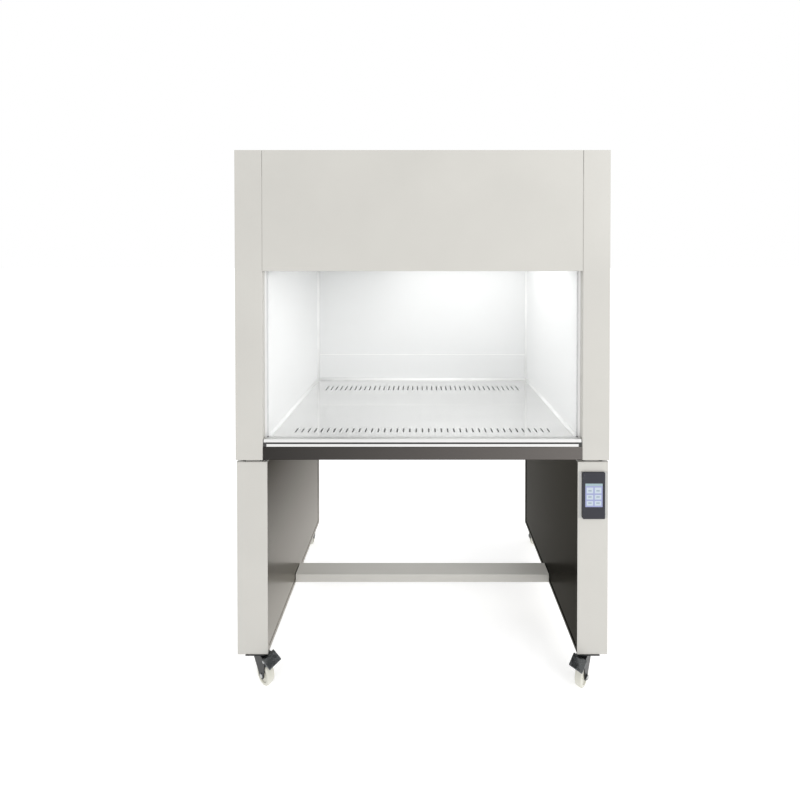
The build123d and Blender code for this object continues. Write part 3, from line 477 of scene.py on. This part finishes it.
NODE_MATERIALS = {
    "left_side_panel": paint, "right_side_panel": paint, "top_panel": paint, "rear_panel": paint,
    "front_panel": paint, "control_box": paint, "left_leg_shell": paint, "right_leg_shell": paint,
    "crossbar": paint, "base_pan": liner_paint, "rear_panel_screws": zinc,
    "front_apron": apron_steel, "left_leg_panel": left_leg_steel, "right_leg_panel": right_leg_steel,
    "left_liner": side_paint, "right_liner": side_paint, "rear_liner": liner_paint,
    "ceiling_grille": liner_paint, "work_surface": work_steel, "hepa_frame": plate_metal,
    "hepa_media": paper, "prefilter": paper, "plenum_deck": galvanised, "front_baffle": galvanised,
    "blower_housing": galvanised, "blower_impeller": galvanised, "blower_motor": fork_black,
    "power_inlet": black_plastic, "lamp_holders": white_plastic, "led_tube": lamp_white,
    "uv_tube": lamp_clear, "left_sash_channel": channel_metal, "right_sash_channel": channel_metal,
    "sash_glass": sash_clear, "sash_rail": rail_metal, "sash_glides": glide_plastic,
    "pulley_brackets": zinc, "left_pulley": white_plastic, "right_pulley": white_plastic,
    "sash_cables": cable_steel, "left_counterweight": weight_steel,
    "right_counterweight": weight_steel, "stand_pads": rubber, "touch_panel_plate": plate_metal,
    "touch_panel_bezel": bezel_plastic, "touch_panel_display": black_plastic,
    "castor_plates": fork_black, "castor_bolts": zinc,
}
CASTORS = ("front_left", "front_right", "rear_left", "rear_right")
for castor in CASTORS:
    NODE_MATERIALS[f"{castor}_castor_fork"] = fork_black
    NODE_MATERIALS[f"{castor}_castor_wheel"] = wheel_nylon
    NODE_MATERIALS[f"{castor}_castor_pedal"] = pedal_zinc

for node_name, finish in NODE_MATERIALS.items():
    mesh = frame["nodes"][node_name].data
    mesh.materials.clear()
    mesh.materials.append(finish)


# ---------------------------------------------------------------- making pieces

def place_mesh(name, mesh, finish, smooth=True):
    """Puts a mesh in the scene as an object with one finish."""
    made = bpy.data.objects.new(name, mesh)
    bpy.context.scene.collection.objects.link(made)
    mesh.materials.append(finish)
    for face in mesh.polygons:
        face.use_smooth = smooth
    return made


def piece(name, build, finish, body, smooth=True):
    """Makes a mesh piece with a function that fills a bmesh, and rides it on a body."""
    shape = bmesh.new()
    build(shape)
    bmesh.ops.recalc_face_normals(shape, faces=shape.faces)
    mesh = bpy.data.meshes.new(name)
    shape.to_mesh(mesh)
    shape.free()
    made = place_mesh(name, mesh, finish, smooth)
    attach(made, body)


def add_block(shape, lowest, highest, bevel=0.0):
    """Adds a box between two corners, with rounded edges."""
    lowest, highest = Vector(lowest), Vector(highest)
    size = highest - lowest
    matrix = Matrix.Translation((lowest + highest) / 2) @ Matrix.Diagonal((*size, 1))
    corners = bmesh.ops.create_cube(shape, size=1.0, matrix=matrix)["verts"]
    if bevel:
        edges = list({e for v in corners for e in v.link_edges})
        bmesh.ops.bevel(shape, geom=edges, offset=bevel, segments=2, affect="EDGES", profile=0.5)


def add_lathe(shape, profile, centre, axis, steps=32):
    """Adds a solid of revolution: (radius, height) pairs turned about an axis through a centre."""
    axis = Vector(axis).normalized()
    across = axis.orthogonal().normalized()
    other = axis.cross(across)
    rings = []
    for radius, height in profile:
        base = Vector(centre) + axis * height
        if radius == 0:
            rings.append([shape.verts.new(base)])
            continue
        ring = []
        for step in range(steps):
            angle = 2 * math.pi * step / steps
            spoke = across * math.cos(angle) + other * math.sin(angle)
            ring.append(shape.verts.new(base + spoke * radius))
        rings.append(ring)
    for first, second in zip(rings, rings[1:]):
        for step in range(steps):
            following = (step + 1) % steps
            corners = [first[step % len(first)], first[following % len(first)]]
            corners += [second[following % len(second)], second[step % len(second)]]
            unique = list(dict.fromkeys(corners))
            if len(unique) > 2:
                shape.faces.new(unique)


def add_hexagon(shape, centre, axis, across_flats, height, bevel=0.0004):
    """Adds a hexagonal nut or bolt head with chamfered corners."""
    radius = across_flats / math.sqrt(3)
    profile = [(0, 0), (radius, 0), (radius, height - bevel), (radius - bevel, height), (0, height)]
    add_lathe(shape, profile, centre, axis, steps=6)


def cable(name, points, radius, finish, body=None):
    """Makes a round wire through points as a mesh tube, and rides it on a body where one is given."""
    curve = bpy.data.curves.new(name, "CURVE")
    curve.dimensions = "3D"
    curve.bevel_depth = radius
    curve.bevel_resolution = 3
    curve.use_fill_caps = True
    line = curve.splines.new("POLY")
    line.points.add(len(points) - 1)
    for line_point, place in zip(line.points, points):
        line_point.co = (*place, 1)
    holder = bpy.data.objects.new(name + "_curve", curve)
    mesh = bpy.data.meshes.new_from_object(holder)
    bpy.data.objects.remove(holder)
    made = place_mesh(name, mesh, finish)
    if body:
        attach(made, body)
    return made


# ---------------------------------------------------------------- sash cables over their pulleys
CABLE_RADIUS = 1.0 * MM
CABLE_STEPS = 24


def straight_run(x, y, foot, head):
    """Places up a straight run of cable."""
    rise = head - foot
    return [
        Vector((x, y, foot + rise * step / CABLE_STEPS)) for step in range(CABLE_STEPS + 1)
    ]


def half_turn(centre, side, reach):
    """Places over the top of a pulley, from the sash's side of it to the weight's."""
    places = []
    for step in range(CABLE_STEPS + 1):
        angle = math.pi * step / CABLE_STEPS
        arm = Vector((-side * reach * math.cos(angle), 0, reach * math.sin(angle)))
        places.append(centre + arm)
    return places


glide_top = high("sash_glides").z
for side_name, side in (("left", -1), ("right", 1)):
    pulley = Vector(joint(f"{side_name}_pulley_turn")["pos_m"])
    weight = f"{side_name}_counterweight"
    weight_x = middle(weight).x
    reach = abs(weight_x - pulley.x)
    sash_run = straight_run(pulley.x - side * reach, pulley.y, glide_top, pulley.z)
    weight_run = straight_run(weight_x, pulley.y, high(weight).z, pulley.z)
    bend = half_turn(pulley, side, reach)
    run = cable(f"{side_name}_cable_sash_run", sash_run, CABLE_RADIUS, cable_steel)
    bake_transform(run)
    drop = cable(f"{side_name}_cable_weight_run", weight_run, CABLE_RADIUS, cable_steel)
    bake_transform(drop)
    over = cable(f"{side_name}_cable_bend", bend, CABLE_RADIUS, cable_steel, ROOT)
    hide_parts("sash_cables")


# ---------------------------------------------------------------- chamber trim
BEAD = 9.0 * MM
BEAD_STEPS = 5
SEAM_RISE = 122.0 * MM
SEAM_HALF = 2.2 * MM
SEAM_PROUD = 0.8 * MM
SEAM_ROUND = 0.3 * MM


def add_cove(shape, start, end, outward):
    """Adds a quarter-round bead along an inside corner; outward holds the two faces' normals."""
    first, second = outward
    rings = []
    for base in (Vector(start), Vector(end)):
        centre = base + (first + second) * BEAD
        ring = [shape.verts.new(base)]
        for step in range(BEAD_STEPS + 1):
            angle = math.pi / 2 * step / BEAD_STEPS
            inward = first * math.cos(angle) + second * math.sin(angle)
            ring.append(shape.verts.new(centre - inward * BEAD))
        rings.append(ring)
    lower, upper = rings
    count = len(lower)
    for step in range(count):
        following = (step + 1) % count
        shape.faces.new([lower[step], lower[following], upper[following], upper[step]])
    shape.faces.new(lower)
    shape.faces.new(list(reversed(upper)))


def chamber_beads(shape):
    """White sealant along the work surface's edges and up the rear corners, and over the rear seam."""
    up = Vector((0, 0, 1))
    ahead = Vector((0, -1, 0))
    floor_front = low("work_surface").y
    for side in (-1, 1):
        inward = Vector((-side, 0, 0))
        near = (side * chamber_half, floor_front, work_top)
        far = (side * chamber_half, chamber_back, work_top)
        roof = (side * chamber_half, chamber_back, chamber_top)
        add_cove(shape, near, far, (inward, up))
        add_cove(shape, far, roof, (inward, ahead))
    rear_left = (-chamber_half, chamber_back, work_top)
    rear_right = (chamber_half, chamber_back, work_top)
    add_cove(shape, rear_left, rear_right, (ahead, up))
    seam = work_top + SEAM_RISE
    add_block(
        shape,
        (-chamber_half + BEAD, chamber_back - SEAM_PROUD, seam - SEAM_HALF),
        (chamber_half - BEAD, chamber_back, seam + SEAM_HALF),
        SEAM_ROUND,
    )


piece("chamber_sealant", chamber_beads, sealant, ROOT)


# ---------------------------------------------------------------- touch panel
display_low, display_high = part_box("touch_panel_display")
panel_face = display_low.y
panel_width = display_high.x - display_low.x
panel_height = display_high.z - display_low.z
# Each field is one layer thick; the fields' places are shares of the display's width and height
LAYER = 0.05 * MM
FIELD = (0.03, 0.02, 0.97, 0.98)
TOP_BAR = (0.03, 0.88, 0.97, 0.98)
TILE_ROWS = ((0.58, 0.82), (0.33, 0.52), (0.08, 0.27))
TILE_COLUMNS = ((0.10, 0.46), (0.54, 0.90))
MARK_INSET = 0.09
MARK_RISE = 0.081
MARK_HEIGHT = 0.05


def screen_colour(name, colour, strength):
    """A lit field on the display."""
    made, tree, shader = new_material(name)
    cloud = noise(tree, place_coordinates(tree), 60.0)
    tone = ramp(tree, cloud, 0.3, 0.7, shade(colour, 0.97), colour)
    tree.links.new(tone, shader.inputs["Emission Color"])
    shader.inputs["Base Color"].default_value = (*shade(colour, 0.3), 1)
    shader.inputs["Emission Strength"].default_value = strength
    shader.inputs["Roughness"].default_value = 0.15
    return made


screen_ground = screen_colour("screen_ground", (0.33, 0.36, 0.60), 0.68)
screen_bar = screen_colour("screen_bar", (0.34, 0.46, 0.50), 0.7)
screen_tile = screen_colour("screen_tile", (0.54, 0.62, 0.70), 0.68)
screen_mark = screen_colour("screen_mark", (0.34, 0.42, 0.50), 0.6)


def screen_block(name, shares, level, finish):
    """A field on the display, between the shares (left, foot, right, head), on a layer over it."""
    left, right = (display_low.x + panel_width * share for share in shares[::2])
    foot, head = (display_low.z + panel_height * share for share in shares[1::2])
    face = panel_face - level * LAYER
    piece(
        name,
        lambda shape: add_block(shape, (left, face - LAYER, foot), (right, face, head)),
        finish,
        ROOT,
        smooth=False,
    )


screen_block("screen_field", FIELD, 0, screen_ground)
screen_block("screen_top_bar", TOP_BAR, 1, screen_bar)
for row, (foot, head) in enumerate(TILE_ROWS):
    for column, (left, right) in enumerate(TILE_COLUMNS):
        mark_foot = foot + MARK_RISE
        mark = (left + MARK_INSET, mark_foot, right - MARK_INSET, mark_foot + MARK_HEIGHT)
        screen_block(f"screen_tile_{row}_{column}", (left, foot, right, head), 1, screen_tile)
        screen_block(f"screen_mark_{row}_{column}", mark, 2, screen_mark)


# ---------------------------------------------------------------- lamp caps and plate screws
CAP_LENGTH = 14 * MM
CAP_GAP = 0.2 * MM
CAP_WALL = 0.7 * MM
SAME_PLACE = 0.01 * MM
SCREW_INSET = 5 * MM
# A screw's dome, as (radius, height)
SCREW_DOME = [(0, 0.9 * MM), (1.0 * MM, 0.8 * MM), (1.8 * MM, 0.45 * MM), (2.1 * MM, 0), (0, 0)]


def lamp_caps(shape):
    """A metal cap round each end of both tubes."""
    for tube in ("led_tube", "uv_tube"):
        centre = middle(tube)
        inner = (high(tube).z - low(tube).z) / 2 + CAP_GAP
        outer = inner + CAP_WALL
        ring = [
            (inner, CAP_LENGTH),
            (outer, CAP_LENGTH),
            (outer, CAP_GAP),
            (inner, CAP_GAP),
            (inner, CAP_LENGTH),
        ]
        for side, end_x in ((-1, low(tube).x), (1, high(tube).x)):
            add_lathe(shape, ring, (end_x, centre.y, centre.z), (-side, 0, 0), 40)
    bmesh.ops.remove_doubles(shape, verts=shape.verts, dist=SAME_PLACE)


piece("lamp_caps", lamp_caps, plate_metal, ROOT)


def plate_screws(shape):
    """A domed screw near each corner of the touch panel's plate."""
    plate_low, plate_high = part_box("touch_panel_plate")
    for x in (plate_low.x + SCREW_INSET, plate_high.x - SCREW_INSET):
        for z in (plate_low.z + 2 * SCREW_INSET, plate_high.z - 2 * SCREW_INSET):
            add_lathe(shape, SCREW_DOME, (x, plate_low.y, z), (0, -1, 0), 20)


piece("plate_screws", plate_screws, zinc, ROOT)


# ---------------------------------------------------------------- castor fittings
# From the fork's middle to the outside of a cheek, and the gap over it
FORK_HALF = 15.5 * MM
END_GAP = 0.1 * MM
NUT_FLATS = 13 * MM
NUT_HEIGHT = 5 * MM
# Round heads, as (radius, height)
AXLE_HEAD = [(0, 3.4 * MM), (3 * MM, 3.2 * MM), (6 * MM, 2.0 * MM), (7 * MM, 0), (0, 0)]
PIN_HEAD = [(0, 1.6 * MM), (2.4 * MM, 1.4 * MM), (4.2 * MM, 0.6 * MM), (4.6 * MM, 0), (0, 0)]


def axle_ends(shape, hub, pin, across):
    """A hexagon nut on one end of the axle, a round head on the other, and the pin's heads."""
    out = across * (FORK_HALF + END_GAP)
    add_hexagon(shape, hub + out, across, NUT_FLATS, NUT_HEIGHT)
    add_lathe(shape, AXLE_HEAD, hub - out, -across, 24)
    for way in (-1, 1):
        add_lathe(shape, PIN_HEAD, pin + out * way, across * way, 20)


for castor in CASTORS:
    spin = joint(f"{castor}_wheel_spin")
    hub = Vector(spin["pos_m"])
    pin = Vector(joint(f"{castor}_brake")["pos_m"])
    across = Vector(spin["axis"]).normalized()
    piece(
        f"{castor}_axle_ends",
        lambda shape: axle_ends(shape, hub, pin, across),
        zinc,
        f"{castor}_fork",
    )


# ---------------------------------------------------------------- floor, lights and camera
FLOOR_HALF = 60.0
FLOOR_GLOW = 0.45
KEY_PLACE = (2.6, front - 2.6, 2.6)
KEY_AIM = (0, 0, 1.0)
KEY_SIZE = (2.0, 2.0)
KEY_WATTS = 40
# The chamber's light comes from a patch under the ceiling grille, nearer the right wall
CHAMBER_LAMP_SIDE = 0.17
CHAMBER_LAMP_DROP = 6 * MM
CHAMBER_LAMP_SIZE = (0.62, 0.5)
CHAMBER_LAMP_WATTS = 1.45


def stage_floor():
    """A pale floor, wide enough for every view."""
    half = FLOOR_HALF
    mesh = bpy.data.meshes.new("floor")
    corners = [(-half, -half, 0), (half, -half, 0), (half, half, 0), (-half, half, 0)]
    mesh.from_pydata(corners, [], [(0, 1, 2, 3)])
    finish, tree, shader = new_material("floor_white")
    cloud = noise(tree, place_coordinates(tree), 0.7)
    tone = ramp(tree, cloud, 0.2, 0.8, (0.84, 0.84, 0.84), (0.86, 0.86, 0.86))
    tree.links.new(tone, shader.inputs["Base Color"])
    tree.links.new(tone, shader.inputs["Emission Color"])
    shader.inputs["Emission Strength"].default_value = FLOOR_GLOW
    shader.inputs["Roughness"].default_value = 0.9
    shader.inputs["Specular IOR Level"].default_value = 0.1
    place_mesh("floor", mesh, finish, smooth=False)


def area_light(name, place, aim, size, watts):
    """A rectangular lamp at a place, turned towards a point."""
    data = bpy.data.lights.new(name, "AREA")
    data.shape = "RECTANGLE"
    data.size, data.size_y = size
    data.energy = watts
    made = bpy.data.objects.new(name, data)
    made.location = place
    made.rotation_euler = (Vector(aim) - Vector(place)).to_track_quat("-Z", "Y").to_euler()
    bpy.context.scene.collection.objects.link(made)


stage_floor()

world = bpy.data.worlds.new("studio")
bpy.context.scene.world = world
world.use_nodes = True
background = world.node_tree.nodes["Background"]
background.inputs["Color"].default_value = (1, 1, 1, 1)
background.inputs["Strength"].default_value = 1.0
bpy.context.scene.view_settings.view_transform = "Standard"

area_light("key", KEY_PLACE, KEY_AIM, KEY_SIZE, KEY_WATTS)
chamber_mid = (front + chamber_back) / 2
area_light(
    "chamber_lamp",
    (CHAMBER_LAMP_SIDE, chamber_mid, chamber_top - CHAMBER_LAMP_DROP),
    (CHAMBER_LAMP_SIDE, chamber_mid, 0),
    CHAMBER_LAMP_SIZE,
    CHAMBER_LAMP_WATTS,
)

# The camera stands straight in front, a little above the opening, and looks very slightly down.
CAMERA_DISTANCE = 1.25
CAMERA_HEIGHT = 1.382
CAMERA_SIDE = -0.004
CAMERA_TILT = math.radians(0.53)
FOCAL_PIXELS = 392.0
IMAGE_PIXELS = 800.0
SENSOR = 36.0
CENTRE_PIXEL = (421.3, 263.1)
camera_data = bpy.data.cameras.new("camera")
camera = bpy.data.objects.new("camera", camera_data)
bpy.context.scene.collection.objects.link(camera)
camera.location = (CAMERA_SIDE, front - CAMERA_DISTANCE, CAMERA_HEIGHT)
camera.rotation_euler = (math.pi / 2 - CAMERA_TILT, 0, 0)
camera_data.sensor_width = SENSOR
camera_data.lens = FOCAL_PIXELS / IMAGE_PIXELS * SENSOR
camera_data.shift_x = 0.5 - CENTRE_PIXEL[0] / IMAGE_PIXELS
camera_data.shift_y = CENTRE_PIXEL[1] / IMAGE_PIXELS - 0.5
camera_data.clip_start = 0.01
bpy.context.scene.camera = camera
